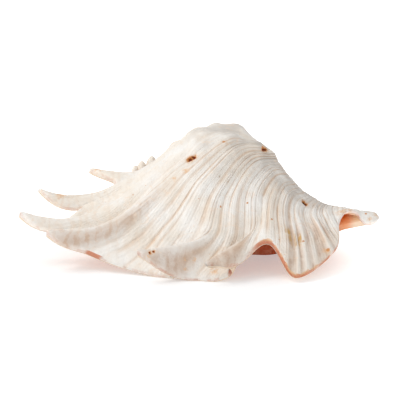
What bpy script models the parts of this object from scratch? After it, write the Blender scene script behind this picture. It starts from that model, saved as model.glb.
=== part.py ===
"""Giant spider conch shell lying on its opening: the canal points along +X and the outer lip faces -Y.

The shell is one thick sheet.  Its outer side runs from the edge of the inner lip, under the belly, up
the back, over the top and down the wing to the fingered outer lip.  Its inner side runs back from that
lip, under the wing and down over the hidden earlier whorls to the inner lip.  A small stepped spire
closes the end opposite the canal.  Dimensions are in millimetres, and each vertex is scaled to metres.
"""

import bpy
import numpy as np

MM = 0.001

# Number of columns from spire to canal on the inner side (the outer side has twice as many, less one),
# and the rows from inner lip to outer lip on each side.
INNER_COLUMNS = 55
OUTER_ROWS = [0.0, 0.05, 0.10, 0.15, 0.20, 0.25, 0.30, 0.35, 0.40, 0.44, 0.48, 0.52, 0.57, 0.62, 0.67,
              0.71, 0.75, 0.79, 0.83, 0.865, 0.895, 0.92, 0.94, 0.957, 0.972, 0.987, 1.0]
INNER_ROWS = [0.0, 0.10, 0.21, 0.32, 0.42, 0.50, 0.58, 0.66, 0.74, 0.82, 0.88, 0.93, 0.965, 0.987, 1.0]

# Guide points of the outer side, one column of points for each place along the shell.  The places are:
# spire margin, finger C, finger B, finger A, short finger, lip, finger two, finger one, notch, lobe,
# right of the lobe, left, top and right of the arch of the canal, and the end of the canal.
PLACES = 15
TOP = [(-34, 50, 73), (-16, 45, 86), (2, 37, 98), (30, 28, 101), (53, 12, 90), (58, 9, 86), (63, 7, 80),
       (69, 5, 72), (76, 1, 63), (88, -5, 51), (102, -12, 44), (118, -17, 41), (131, -18, 38.5),
       (141, -18, 38), (148.5, -17, 37)]
HIGH = [(-43, 42, 67), (-30, 33, 79), (-16, 24, 92), (2, 8, 102.5), (19, -14, 98), (32, -16, 93),
        (42, -16, 84), (56, -14, 74), (66, -18, 64), (79, -24, 50), (98, -24, 43), (117, -23, 43),
        (130, -22, 41), (140, -22, 39.5), (148.5, -21, 37.5)]
MID = [(-51, 35, 61), (-45, 21, 68.5), (-38, 11, 74), (-29, -8, 77), (-13, -31, 75), (2, -41, 70),
       (18, -45, 61), (40, -43, 57), (58, -40, 53), (75, -46, 42), (96, -38, 40), (116, -30, 42),
       (129, -27, 41.5), (139, -27, 39), (148.5, -24.5, 36.5)]
LOW = [(-58, 29, 59), (-60, 13, 58), (-64, 0, 52), (-70, -24, 39), (-55, -45, 31), (-24, -58, 28),
       (8, -68, 29), (37, -67, 26), (55, -61, 38), (77, -70, 26), (101, -54, 31), (115, -38, 40),
       (127.5, -30, 41), (138, -29.5, 34), (148.5, -26, 34)]
LIP = [(-62, 25, 57), (-69, 9, 56), (-91, -8, 42), (-112, -32, 29), (-98, -57, 15), (-52, -76, 2),
       (-14, -89, -1), (21, -96, 2.5), (53, -77, 25.5), (75, -97, 3), (109, -69, 18), (113.5, -43, 37),
       (126, -32, 40), (137.5, -28.5, 29), (148.5, -25, 31.5)]
BACK = [(-27, 72, 44), (-10, 77, 46), (6, 79, 46), (24, 77, 46), (40, 73, 45), (50, 69, 44),
        (60, 62, 42), (70, 53, 40), (80, 43, 38), (92, 29, 35), (106, 13, 33), (120, 1, 32),
        (131, -5, 32), (141, -10, 33), (148.5, -12.5, 34.5)]
BELLY = [(-34, 40, 8), (-20, 39, 0), (-8, 37, -3), (6, 34, -4), (22, 29, -4), (34, 24, -2),
         (46, 17, 2), (58, 9, 6), (70, -1, 10), (84, -8, 15), (102, -12, 20), (118, -13, 24),
         (130, -13, 25), (140, -13.5, 27.5), (148.5, -14, 30.5)]
INNER_LIP = [(-47, 3, 22), (-40, -6, 16), (-30, -12, 12), (-18, -18, 9), (-4, -23, 7), (12, -28, 6),
             (28, -33, 6), (44, -37, 6), (60, -40, 7), (80, -39, 12), (102, -33, 19), (118, -26, 24),
             (129, -22, 25.5), (139, -20, 27), (148.5, -19, 29.5)]
# Where each row of guide points lies between the inner lip (0) and the outer lip (1).
GUIDE_ROWS = [0.0, 0.10, 0.19, 0.28, 0.37, 0.46, 0.58, 0.71, 0.85, 1.0]
POCKET = 0.42           # the row where the inner side turns back over the earlier whorls

# Each finger: place along the lip, tip, half widths at the tip and at the root on the spire side and on
# the canal side, start on the wing, height of the ridge that runs down to it, and sag half way on the
# spire side and on the canal side.
FINGERS = [
    (0.72, (-96, 25, 61), (4.5, 9.0), (4.5, 9.0), 0.55, 4.0, (1.0, 1.0)),
    (1.95, (-136, -10, 52), (5.0, 9.0), (4.5, 9.0), 0.50, 6.0, (9.0, 8.0)),
    (3.05, (-149, -40, 37), (5.0, 10.0), (3.5, 10.0), 0.45, 7.0, (8.0, 5.0)),
    (3.85, (-124, -63, 26), (4.0, 9.0), (6.0, 10.0), 0.45, 9.0, (3.0, 2.0)),
    (6.0, (-48, -97, 19), (2.6, 7.0), (5.5, 9.0), 0.67, 6.0, (-3.0, 4.0)),
    (7.3, (8, -109, 14), (2.6, 7.5), (5.5, 8.5), 0.68, 6.0, (-3.0, 4.0)),
]
# Knobs on the shoulder: place, row, height, radius.
KNOBS = [(0.75, 0.47, 3.5, 8.0), (1.75, 0.46, 3.0, 9.0), (2.45, 0.47, 3.0, 8.0), (3.05, 0.46, 4.0, 9.0),
         (2.75, 0.60, 3.0, 9.0), (3.85, 0.545, 3.0, 9.0), (4.6, 0.50, 2.5, 8.0), (5.9, 0.47, 2.5, 7.0)]

# Broad ribs that fan from the shoulder to the lip.
RIB_SPACING = 13.0
RIB_HEIGHT = 0.9

WALL = 6.5              # thickness of the body wall
LIP_WALL = 4.6          # thickness of the wing near the lip
END_WALL = 3.6          # thickness of the canal wall at its end
EDGE = 1.6              # thickness left at the rounded edge
EDGE_WIDTH = 4.0        # distance over which the edge is rounded
NORMAL_STEP = (0.12, 0.03)   # places and rows over which the thickness takes its direction
FINGER_NORMAL = 0.5     # how far that direction follows the fingers

# Stepped spire.
APEX = (-86.0, 46.0, 35.0)
SPIRE_SIDES = 40
SPIRE_STEPS = 13
WHORL_GROWTH = 1.55     # growth of the radius in one turn
STEP_HEIGHT = 0.075     # depth of the steps, as a share of the radius
SPIRE_KNOBS = 9         # knobs in one turn
SPIRE_KNOB = 0.07


def through(points, knots, at):
    """A smooth curve through the points, which belong to the knots, at the values asked for."""
    points = np.asarray(points, float)
    knots = np.asarray(knots, float)
    flat = (-1,) + (1,) * (points.ndim - 1)
    width = np.diff(knots)
    rise = np.diff(points, axis=0) / width.reshape(flat)
    left, right = width[:-1].reshape(flat), width[1:].reshape(flat)
    slope = np.empty_like(points)
    slope[1:-1] = (rise[:-1] * right + rise[1:] * left) / (left + right)
    slope[0] = 1.5 * rise[0] - 0.5 * slope[1]
    slope[-1] = 1.5 * rise[-1] - 0.5 * slope[-2]
    i = np.clip(np.searchsorted(knots, at, side="right") - 1, 0, len(width) - 1)
    s = ((at - knots[i]) / width[i]).reshape(flat)
    w = width[i].reshape(flat)
    return ((2 * s**3 - 3 * s**2 + 1) * points[i] + (s**3 - 2 * s**2 + s) * w * slope[i]
            + (3 * s**2 - 2 * s**3) * points[i + 1] + (s**3 - s**2) * w * slope[i + 1])


def smooth(t):
    """Rises from 0 to 1 with flat ends as t goes from 0 to 1."""
    t = np.clip(t, 0.0, 1.0)
    return t * t * (3.0 - 2.0 * t)


def guide_points():
    top, back, belly = (np.array(row, float) for row in (TOP, BACK, BELLY))
    low_back = back * (0.45, 0.72, 0.22) + belly * (0.55, 0.28, 0.78)
    high_back = back * (0.45, 0.66, 0.24) + top * (0.55, 0.34, 0.76)
    rows = [INNER_LIP, belly, low_back, back, high_back, top, HIGH, MID, LOW, LIP]
    return np.array(rows, float)


def plain_sheet(u, v):
    """The sheet without fingers: a column for each place u and a point for each row v."""
    guides = guide_points()
    lines = through(np.swapaxes(guides, 0, 1), np.arange(PLACES), u)
    return np.swapaxes(through(np.swapaxes(lines, 0, 1), GUIDE_ROWS, v), 0, 1)


def length_along(points):
    steps = np.linalg.norm(np.diff(points, axis=0), axis=1)
    return np.concatenate([[0.0], np.cumsum(steps)])


DENSE = np.linspace(0, PLACES - 1, 1301)
LIP_LINE = plain_sheet(DENSE, np.array([1.0]))[:, 0]
LIP_LENGTH = length_along(LIP_LINE)
RIB_LENGTH = length_along(plain_sheet(DENSE, np.array([0.66]))[:, 0])


def finger_pull(u, v):
    """How far each point moves towards the finger tips, and how high the ridges to the fingers are.
    The pull sags half way, so that a finger curves up like a horn."""
    here = np.interp(u, DENSE, LIP_LENGTH)[:, None]
    down = np.clip((v - 0.46) / 0.54, 0, 1)[None, :]
    move = np.zeros((len(u), len(v), 3))
    ridge = np.zeros((len(u), len(v)))
    for place, tip, spire_side, canal_side, start, height, sag in FINGERS:
        middle = np.interp(place, DENSE, LIP_LENGTH)
        root = np.array([np.interp(place, DENSE, LIP_LINE[:, k]) for k in range(3)])
        grow = np.clip((down - start) / (1 - start), 0, 1)
        spire_width = spire_side[1] + (spire_side[0] - spire_side[1]) * grow
        canal_width = canal_side[1] + (canal_side[0] - canal_side[1]) * grow
        width = np.where(here < middle, spire_width, canal_width)
        pull = np.exp(-np.abs((here - middle) / width) ** 1.6) * grow ** 1.8
        move += pull[..., None] * (np.array(tip, float) - root)
        side = smooth(0.5 + 0.5 * (here - middle) / width)
        move[..., 2] -= (sag[0] + (sag[1] - sag[0]) * side) * 4 * pull * (1 - pull)
        broad = 1 / (1 + ((here - middle) / (1.25 * width)) ** 2) ** 1.5
        ridge += height * broad * smooth((down - start + 0.08) / 0.4) * (1 - 0.45 * grow)
    return move, ridge


def bumps(sheet, u, v):
    """Height of the knobs and of the broad ribs at each point."""
    height = np.zeros(sheet.shape[:2])
    for place, row, rise, radius in KNOBS:
        middle = plain_sheet(np.array([place]), np.array([row]))[0, 0]
        height += rise * np.exp(-np.sum((sheet - middle) ** 2, axis=2) / radius ** 2)
    turn = 2 * np.pi * np.interp(u, DENSE, RIB_LENGTH) / RIB_SPACING
    band = smooth((v - 0.46) / 0.2) * (1 - 0.5 * smooth((v - 0.85) / 0.15))
    fade = smooth((u - 2.2) / 1.2) * (1 - 0.6 * smooth((u - 10) / 2))
    height += RIB_HEIGHT * (np.cos(turn) * fade)[:, None] * band[None, :]
    return height


def middle_sheet(u, v):
    """The sheet with its fingers but with no thickness."""
    move, _ = finger_pull(u, v)
    return plain_sheet(u, v) + move


def outward(u, v):
    """Unit vectors that point out of the shell, measured over steps wide enough to stay smooth."""
    before, after = np.clip(u - NORMAL_STEP[0], 0, PLACES - 1), np.clip(u + NORMAL_STEP[0], 0, PLACES - 1)
    lower, upper = np.clip(v - NORMAL_STEP[1], 0, 1), np.clip(v + NORMAL_STEP[1], 0, 1)
    normal = 0
    for shape, share in ((plain_sheet, 1 - FINGER_NORMAL), (middle_sheet, FINGER_NORMAL)):
        along = shape(after, v) - shape(before, v)
        across = shape(u, upper) - shape(u, lower)
        turn = np.cross(across, along)
        normal = normal + share * turn / np.maximum(np.linalg.norm(turn, axis=2, keepdims=True), 1e-9)
    return normal / np.linalg.norm(normal, axis=2, keepdims=True)


def both_sides(u, v):
    """Outer side and plain inner side of the sheet."""
    sheet = plain_sheet(u, v)
    normal = outward(u, v)
    move, ridge = finger_pull(u, v)
    middle = sheet + move
    gaps = np.linalg.norm(np.diff(middle, axis=1), axis=2)
    to_edge = np.zeros(middle.shape[:2])
    to_edge[:, :-1] = np.cumsum(gaps[:, ::-1], axis=1)[:, ::-1]
    wall = WALL + (LIP_WALL - WALL) * smooth((v - 0.5) / 0.4)[None, :]
    wall = wall + (END_WALL - wall) * smooth((u - 8.5) / 4.0)[:, None]
    rounding = np.sqrt(1 - (1 - np.clip(to_edge / EDGE_WIDTH, 0, 1)) ** 2)
    wall = EDGE + (wall - EDGE) * rounding
    above = smooth((v - 0.6) / 0.4)[None, :]
    outer = middle + normal * (ridge + bumps(sheet, u, v) * rounding + wall * above)[..., None]
    inner = middle + normal * (0.5 * ridge - wall * (1 - above))[..., None]
    inner[..., 2] = np.maximum(inner[..., 2], 0.0)
    outer[..., 2] = np.maximum(outer[..., 2], 0.0)
    wing = np.broadcast_to(v[None, :] > 0.6, outer.shape[:2])
    outer[..., 2] = np.where(wing, np.maximum(outer[..., 2], inner[..., 2] + 0.9), outer[..., 2])
    return outer, inner


def inner_side(u, v):
    """Inner side of the sheet: up over the earlier whorls to the pocket, then out under the wing."""
    split = int(np.searchsorted(v, POCKET - 1e-9))
    _, under = both_sides(u, v[split:])
    start = plain_sheet(u, np.array([0.0]))[:, 0] + (0.0, 1.0, 3.2)
    end = under[:, 0]
    share = (v[:split] / POCKET)[None, :, None]
    span = np.linalg.norm(end - start, axis=1)[:, None, None]
    bulge = span * 0.24 * np.sin(np.pi * share ** 0.8)
    core = start[:, None] * (1 - share) + end[:, None] * share + bulge * np.array([0.0, -0.95, 0.1])
    return np.concatenate([core, under], axis=1)


def columns():
    """Places of the inner columns, close together where the lip is long, and of the outer ones."""
    v = np.array([0.46, 1.0])
    move, _ = finger_pull(DENSE, v)
    edge = length_along(LIP_LINE + move[:, 1])
    crest = length_along(plain_sheet(DENSE, v)[:, 0])
    spread = 0.6 * edge / edge[-1] + 0.25 * crest / crest[-1] + 0.15 * DENSE / DENSE[-1]
    even = np.linspace(0, 1, INNER_COLUMNS)
    for finger in FINGERS:
        here = np.interp(finger[0], DENSE, spread)
        even[np.argmin(np.abs(even - here))] = here
    fine = np.sort(np.concatenate([even, (even[1:] + even[:-1]) / 2]))
    return np.interp(even, spread, DENSE), np.interp(fine, spread, DENSE)


def zip_up(a, at_a, b, at_b):
    """Triangles that join two lines of vertices of unlike number, each with its share of the way."""
    faces = []
    i = j = 0
    while i < len(a) - 1 or j < len(b) - 1:
        if j == len(b) - 1 or (i < len(a) - 1 and at_a[i + 1] <= at_b[j + 1]):
            faces.append((a[i], a[i + 1], b[j]))
            i += 1
        else:
            faces.append((a[i], b[j + 1], b[j]))
            j += 1
    return faces


def shares(points):
    length = length_along(points)
    return length / length[-1]


def spire_rings(loop):
    """Rings that shrink from the open end of the body to the apex, stepped like whorls and knobbed."""
    centre = loop.mean(axis=0)
    axis = np.array(APEX) - centre
    reach = np.linalg.norm(axis)
    axis = axis / reach
    closed = np.vstack([loop, loop[:1]])
    at = np.linspace(0, 1, SPIRE_SIDES, endpoint=False)
    ring = np.stack([np.interp(at, shares(closed), closed[:, k]) for k in range(3)], axis=1)
    arm = ring - centre
    tilt = (arm @ axis)[:, None] * axis
    up = np.array([0.0, 0.0, 1.0]) - axis[2] * axis
    up = up / np.linalg.norm(up)
    side = np.cross(axis, up)
    angle = np.arctan2(arm @ side, arm @ up)
    spoke = arm - tilt
    mean = np.linalg.norm(spoke, axis=1).mean()
    circle = (np.cos(angle)[:, None] * up + np.sin(angle)[:, None] * side) * mean
    rings = []
    for step in range(1, SPIRE_STEPS + 1):
        h = (step / (SPIRE_STEPS + 0.6)) ** 0.9
        left = 1 - h
        turn = np.log(1 / left) / np.log(WHORL_GROWTH) - angle / (2 * np.pi)
        part = turn - np.floor(turn)
        ease = smooth(h / 0.15)
        scale = 1 + ease * STEP_HEIGHT * (np.cos(2 * np.pi * (part - 0.35)))
        knob = np.exp(-((part - 0.35) / 0.16) ** 2) * (0.5 + 0.5 * np.cos(angle * SPIRE_KNOBS))
        scale = scale + ease * SPIRE_KNOB * knob
        round_off = smooth(h / 0.5)
        shape = spoke * (1 - round_off) + circle * round_off
        rings.append(centre + axis * reach * h + tilt * (1 - smooth(h / 0.8)) + shape * (left * scale)[:, None])
    return rings


def build_shell():
    inner_u, outer_u = columns()
    outer, _ = both_sides(outer_u, np.array(OUTER_ROWS))
    inner = inner_side(inner_u, np.array(INNER_ROWS))
    points = [outer.reshape(-1, 3), inner.reshape(-1, 3)]
    outer_id = np.arange(outer.shape[0] * outer.shape[1]).reshape(outer.shape[:2])
    inner_id = outer_id.size + np.arange(inner.shape[0] * inner.shape[1]).reshape(inner.shape[:2])
    faces = []
    for ids, flip in ((outer_id, False), (inner_id, True)):
        a, b, c, d = ids[:-1, :-1].ravel(), ids[:-1, 1:].ravel(), ids[1:, 1:].ravel(), ids[1:, :-1].ravel()
        quads = np.stack([a, b, c, d], axis=1)
        if flip:
            quads = quads[:, ::-1]
        for q in quads.tolist():
            faces.append((q[0], q[1], q[2]))
            faces.append((q[0], q[2], q[3]))
    # The two long edges: outer lip and inner lip.
    way_outer = np.linspace(0, 1, outer.shape[0])
    way_inner = np.linspace(0, 1, inner.shape[0])
    for row in (-1, 0):
        strip = zip_up(outer_id[:, row], way_outer, inner_id[:, row], way_inner)
        faces += strip if row == 0 else [f[::-1] for f in strip]
    # The end of the canal.
    way_outer, way_inner = shares(outer[-1]), shares(inner[-1])
    faces += zip_up(outer_id[-1], np.array(OUTER_ROWS), inner_id[-1], np.array(INNER_ROWS))
    # The margin of the wing beside the spire, and the spire on the rest of that end.
    turn_outer = OUTER_ROWS.index(0.44)
    turn_inner = INNER_ROWS.index(POCKET)
    rows_outer = np.array(OUTER_ROWS[turn_outer:])
    rows_inner = np.array(INNER_ROWS[turn_inner:])
    rows_outer = (rows_outer - rows_outer[0]) / (1 - rows_outer[0])
    rows_inner = (rows_inner - rows_inner[0]) / (1 - rows_inner[0])
    margin = zip_up(outer_id[0, turn_outer:], rows_outer, inner_id[0, turn_inner:], rows_inner)
    faces += [f[::-1] for f in margin]
    loop_id = np.concatenate([outer_id[0, :turn_outer + 1], inner_id[0, :turn_inner + 1][::-1]])
    loop = np.concatenate([outer[0, :turn_outer + 1], inner[0, :turn_inner + 1][::-1]])
    rings = spire_rings(loop)
    first = outer_id.size + inner_id.size
    ring_id = [first + k * SPIRE_SIDES + np.arange(SPIRE_SIDES) for k in range(len(rings))]
    points += rings
    around = np.append(np.arange(SPIRE_SIDES) / SPIRE_SIDES, 1.0)
    closed = shares(np.vstack([loop, loop[:1]]))
    faces += [f[::-1] for f in zip_up(np.append(loop_id, loop_id[0]), closed,
                                      np.append(ring_id[0], ring_id[0][0]), around)]
    for a, b in zip(ring_id[:-1], ring_id[1:]):
        for k in range(SPIRE_SIDES):
            n = (k + 1) % SPIRE_SIDES
            faces.append((a[k], b[k], b[n]))
            faces.append((a[k], b[n], a[n]))
    apex = first + len(rings) * SPIRE_SIDES
    points.append(np.array([APEX]))
    for k in range(SPIRE_SIDES):
        faces.append((ring_id[-1][k], apex, ring_id[-1][(k + 1) % SPIRE_SIDES]))
    points = np.concatenate(points)
    points[:, :2] -= (points.min(axis=0) + points.max(axis=0))[:2] / 2
    return points * MM, [tuple(int(i) for i in f) for f in faces]


def main():
    for old in list(bpy.data.objects):
        bpy.data.objects.remove(old, do_unlink=True)
    points, faces = build_shell()
    mesh = bpy.data.meshes.new("shell")
    mesh.from_pydata(points.tolist(), [], faces)
    mesh.update()
    chalk = bpy.data.materials.new("shell_chalk")
    chalk.use_nodes = True
    surface = chalk.node_tree.nodes["Principled BSDF"]
    surface.inputs["Base Color"].default_value = (0.78, 0.70, 0.60, 1.0)
    surface.inputs["Roughness"].default_value = 0.6
    mesh.materials.append(chalk)
    shell = bpy.data.objects.new("shell", mesh)
    group = bpy.data.collections.new("Spider conch shell")
    bpy.context.scene.collection.children.link(group)
    group.objects.link(shell)


if __name__ == "__main__":
    main()
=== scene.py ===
"""A giant spider conch shell, chalky and corded outside and glazed orange inside, on a pale studio floor."""

import bpy
import numpy as np
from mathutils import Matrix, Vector


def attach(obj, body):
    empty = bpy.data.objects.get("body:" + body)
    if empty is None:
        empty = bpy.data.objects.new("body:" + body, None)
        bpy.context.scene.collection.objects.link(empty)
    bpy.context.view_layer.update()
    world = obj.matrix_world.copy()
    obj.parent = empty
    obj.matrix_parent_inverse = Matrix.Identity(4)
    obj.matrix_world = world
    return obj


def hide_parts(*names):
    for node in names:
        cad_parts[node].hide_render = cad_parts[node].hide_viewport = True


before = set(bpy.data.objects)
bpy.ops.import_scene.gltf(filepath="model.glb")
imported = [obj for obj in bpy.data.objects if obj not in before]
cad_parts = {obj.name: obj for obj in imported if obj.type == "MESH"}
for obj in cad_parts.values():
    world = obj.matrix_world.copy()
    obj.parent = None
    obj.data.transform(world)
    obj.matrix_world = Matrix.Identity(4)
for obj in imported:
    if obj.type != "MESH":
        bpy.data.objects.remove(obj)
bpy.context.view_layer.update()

bl_info = {
    "name": "Spider conch shell",
    "version": (1, 0, 0),
    "blender": (4, 5, 0),
    "location": "3D View > Sidebar > Shell",
    "description": "Builds a spider conch shell and a plain studio around it",
    "category": "Add Mesh",
}

MM = 0.001
TURN = 2 * np.pi

# ---------------------------------------------------------------------------------------------------
# Form, in millimetres.
# ---------------------------------------------------------------------------------------------------

# Guide points of the plain wing and body, one for each place along the shell: spire margin, finger C,
# finger B, finger A, short finger, lip, finger two, finger one, notch, lobe, right of the lobe, left, top
# and right of the arch of the canal, and the end of the canal.
PLACES = 15
TOP = [(-34, 50, 73), (-16, 45, 86), (2, 37, 98), (30, 28, 101), (53, 12, 90), (58, 9, 86), (63, 7, 80),
       (69, 5, 72), (76, 1, 63), (88, -5, 51), (102, -12, 44), (118, -17, 41), (131, -18, 38.5),
       (141, -18, 38), (148.5, -17, 37)]
HIGH = [(-43, 42, 67), (-30, 33, 79), (-16, 24, 92), (2, 8, 102.5), (19, -14, 98), (32, -16, 93),
        (42, -16, 84), (56, -14, 74), (66, -18, 64), (79, -24, 50), (98, -24, 43), (117, -23, 43),
        (130, -22, 41), (140, -22, 39.5), (148.5, -21, 37.5)]
MID = [(-51, 35, 61), (-45, 21, 68.5), (-38, 11, 74), (-29, -8, 77), (-13, -31, 75), (2, -41, 70),
       (18, -45, 61), (40, -43, 57), (58, -40, 53), (75, -46, 42), (96, -38, 40), (116, -30, 42),
       (129, -27, 41.5), (139, -27, 39), (148.5, -24.5, 36.5)]
LOW = [(-58, 29, 59), (-60, 13, 58), (-64, 0, 52), (-70, -24, 39), (-55, -45, 31), (-24, -58, 28),
       (8, -68, 29), (37, -67, 26), (55, -61, 38), (77, -70, 26), (101, -54, 31), (115, -38, 40),
       (127.5, -30, 41), (138, -29.5, 34), (148.5, -26, 34)]
LIP = [(-62, 25, 57), (-69, 9, 56), (-91, -8, 42), (-112, -32, 29), (-98, -57, 15), (-52, -76, 2),
       (-14, -89, -1), (21, -96, 2.5), (53, -77, 25.5), (75, -97, 3), (109, -69, 18), (113.5, -43, 37),
       (126, -32, 40), (137.5, -28.5, 29), (148.5, -25, 31.5)]
BACK = [(-27, 72, 44), (-10, 77, 46), (6, 79, 46), (24, 77, 46), (40, 73, 45), (50, 69, 44),
        (60, 62, 42), (70, 53, 40), (80, 43, 38), (92, 29, 35), (106, 13, 33), (120, 1, 32),
        (131, -5, 32), (141, -10, 33), (148.5, -12.5, 34.5)]
BELLY = [(-34, 40, 8), (-20, 39, 0), (-8, 37, -3), (6, 34, -4), (22, 29, -4), (34, 24, -2),
         (46, 17, 2), (58, 9, 6), (70, -1, 10), (84, -8, 15), (102, -12, 20), (118, -13, 24),
         (130, -13, 25), (140, -13.5, 27.5), (148.5, -14, 30.5)]
INNER_LIP = [(-47, 3, 22), (-40, -6, 16), (-30, -12, 12), (-18, -18, 9), (-4, -23, 7), (12, -28, 6),
             (28, -33, 6), (44, -37, 6), (60, -40, 7), (80, -39, 12), (102, -33, 19), (118, -26, 24),
             (129, -22, 25.5), (139, -20, 27), (148.5, -19, 29.5)]
# Row of each line of guide points, from the inner lip over the back to the outer lip, and the row at
# which the opening's pocket ends.
GUIDE_ROWS = [0.0, 0.10, 0.19, 0.28, 0.37, 0.46, 0.58, 0.71, 0.85, 1.0]
POCKET = 0.42
# Row of the shoulder, where the wing begins, and the row along which the cords are counted.
SHOULDER, CORD_ROW = 0.46, 0.66

# Fingers: place, tip, half widths on the spire side and on the canal side (at tip and root), start,
# height of the ridge, and sag on each side.
FINGERS = [
    (0.72, (-96, 25, 61), (4.5, 9.0), (4.5, 9.0), 0.55, 4.0, (1.0, 1.0)),
    (1.95, (-136, -10, 52), (5.0, 9.0), (4.5, 9.0), 0.50, 6.0, (9.0, 8.0)),
    (3.05, (-149, -40, 37), (5.0, 10.0), (3.5, 10.0), 0.45, 7.0, (8.0, 5.0)),
    (3.85, (-124, -63, 26), (4.0, 9.0), (6.0, 10.0), 0.45, 9.0, (3.0, 2.0)),
    (6.0, (-48, -97, 19), (2.6, 7.0), (5.5, 9.0), 0.67, 6.0, (-3.0, 4.0)),
    (7.3, (8, -109, 14), (2.6, 7.5), (5.5, 8.5), 0.68, 6.0, (-3.0, 4.0)),
]
# Knobs of the back: place, row, height, radius.
KNOBS = [(0.75, 0.47, 3.5, 8.0), (1.75, 0.46, 3.0, 9.0), (2.45, 0.47, 3.0, 8.0), (3.05, 0.46, 4.0, 9.0),
         (2.75, 0.60, 3.0, 9.0), (3.85, 0.545, 3.0, 9.0), (4.6, 0.50, 2.5, 8.0), (5.9, 0.47, 2.5, 7.0)]
# Shift that brings the middle of the solid's box to the origin.
CENTRE = (-0.525, 15.386)
RIB_SPACING, LOBE_SPACING = 13.0, 6.3
# Half widths of the main and the minor grooves, as shares of the cord spacing, and the height of the
# growth lines.
MAIN_GROOVE, MINOR_GROOVE, GROWTH_LINE = 0.23, 0.11, 0.12
# Depth of a hole as a share of its radius.
HOLE_DEPTH = 1.1
# Where the canal's end begins to round, how far it is drawn in, and the y and z of its axis.
END_START, END_DRAW, END_AXIS = 13.55, 0.65, (-19.0, 35.0)
# Thickness of the wall, of the wall near the lip and in the canal, and of the edge; and the width over
# which the edge rounds off.
WALL, LIP_WALL, END_WALL = 6.5, 4.6, 3.6
EDGE, EDGE_WIDTH = 1.6, 4.0
# Steps in place and row for the outward vectors, and the share that the fingers have in them.
NORMAL_STEP, FINGER_NORMAL = (0.12, 0.03), 0.5

# Spire: its apex, the sides and steps of its mesh, how much a turn grows, the height of the steps
# between its turns, and the number and height of the knobs of a turn.
APEX = (-86.0, 46.0, 35.0)
SPIRE_SIDES, SPIRE_STEPS = 96, 40
WHORL_GROWTH, STEP_HEIGHT = 1.55, 0.075
SPIRE_KNOBS, SPIRE_KNOB = 9, 0.07
# Row at which the spire's loop leaves the outer side, and what the material reads where there is no lip.
SPIRE_MARGIN, SPIRE_ROW = 0.44, 0.3
CORE_FROM_LIP, SPIRE_FROM_LIP = 40.0, 60.0

# Knobs of the earlier whorl that peep over the wing: centre and half lengths.
WHORL_KNOBS = [((-42.5, 52.0, 59.0), (5.5, 8.0, 12.8)), ((-51.0, 48.0, 56.0), (5.1, 7.5, 12.2)),
               ((-56.6, 45.0, 54.4), (4.1, 6.5, 10.5))]
BEAD_RINGS, BEAD_SIDES = 9, 20

# Bore holes left by worms and sponges: place, row, radius.
HOLES = [(3.775, 0.678, 2.2), (3.825, 0.668, 1.8), (3.755, 0.668, 1.0), (5.30, 0.498, 1.6),
         (5.35, 0.508, 1.8), (9.33, 0.552, 2.0), (9.42, 0.563, 2.2), (9.46, 0.551, 1.5),
         (6.016, 0.985, 1.0), (6.010, 0.977, 1.0)]
# Small pits in the chalk: place, row, radius.
PITS = [(5.53, 0.677, 0.8), (5.98, 0.677, 0.8), (5.80, 0.653, 0.7), (5.66, 0.664, 0.6), (5.88, 0.664, 0.6)]
# Small orange specks: place, row, radius.
SPECKS = [(4.115, 0.584, 1.3), (6.12, 0.756, 0.9), (6.98, 0.735, 0.8), (8.12, 0.828, 0.9),
          (9.78, 0.968, 1.6), (12.85, 0.741, 0.9), (9.2, 0.865, 1.1)]
# Yellow-brown stains on the lobe: place, row, radius.
STAINS = [(8.75, 0.831, 4.0), (8.88, 0.850, 5.0), (8.95, 0.870, 4.0), (9.10, 0.842, 4.0)]
# Peach patches: place, row, radius.
PATCHES = [(4.145, 0.583, 2.2), (4.10, 0.706, 3.4), (4.02, 0.735, 2.0), (11.10, 0.850, 4.0),
           (11.45, 0.840, 3.5), (13.2, 0.850, 2.2), (13.6, 0.710, 2.0), (9.75, 0.965, 3.0),
           (0.72, 0.97, 3.0), (1.95, 0.96, 3.5), (5.9, 0.90, 3.5), (7.2, 0.93, 3.0), (6.6, 0.97, 3.0),
           (7.0, 0.96, 2.5), (6.114, 0.948, 1.5), (6.163, 0.938, 1.3), (6.175, 0.973, 1.5),
           (6.034, 0.996, 2.0)]

# Unevenness of the finish: size in mm, detail, roughness and twist of each noise.
# Two of these noises break up painted shade: the one for the grey over the upper back and the one for the tan
# shade on the finger flanks.
UNEVEN = {
    "chalk": (34, 4, 0.55, 0.0), "mottle": (7, 4, 0.55, 0.0), "warmth": (18, 5, 0.6, 0.6),
    "weathering_and_shade": (22, 4, 0.55, 0.0), "breaks": (9, 4, 0.6, 0.0), "bend": (20, 4, 0.6, 0.0),
    "shade_and_stain": (9, 5, 0.65, 0.0), "bloom": (11, 5, 0.65, 1.2), "specks": (2.6, 2, 0.55, 0.0),
    "blotch": (4, 4, 0.6, 0.0), "patch": (3.5, 4, 0.6, 0.0), "rim": (13, 4, 0.6, 0.0),
    "wear": (6, 4, 0.6, 0.0), "chips": (3, 4, 0.6, 0.0), "glaze": (14, 3, 0.55, 0.0),
    "grain": (1.1, 3, 0.6, 0.0), "lumps": (5, 4, 0.6, 0.0), "polish": (12, 3, 0.55, 0.0),
}
# Lines in the grooves: shift in the count of cords, half width, weakest and strongest.
LINES = [(0.0, 0.17, 0.35, 1.0), (0.5, 0.10, -0.5, 0.8), (0.27, 0.07, -0.9, 0.5)]
# Painted light: glow of the floor, which is no lamp: its centre and reach in metres, and its strength
# under the shell and past it.
GLOW_CENTRE, GLOW_REACH, GLOW_STRENGTH = (-0.04, 0.0, 0.0), (0.125, 0.20), (0.38, 0.9)
# In mm: wobble of the marks' edges, bands across the fingers, fine cords, height of the bump.
WOBBLE_SIZE, BAND_SPACING, FINE_CORD_SPACING, BUMP_HEIGHT = 2.2, 8.0, 1.45, 1.1
# In metres: half the floor's side, and the height that the camera and the lamps point at.
FLOOR_HALF_SIDE, TARGET_HEIGHT = 3.0, 0.044

# Fineness of the mesh.
INNER_COLUMNS, OUTER_ROWS, INNER_ROWS = 285, 140, 50


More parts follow.
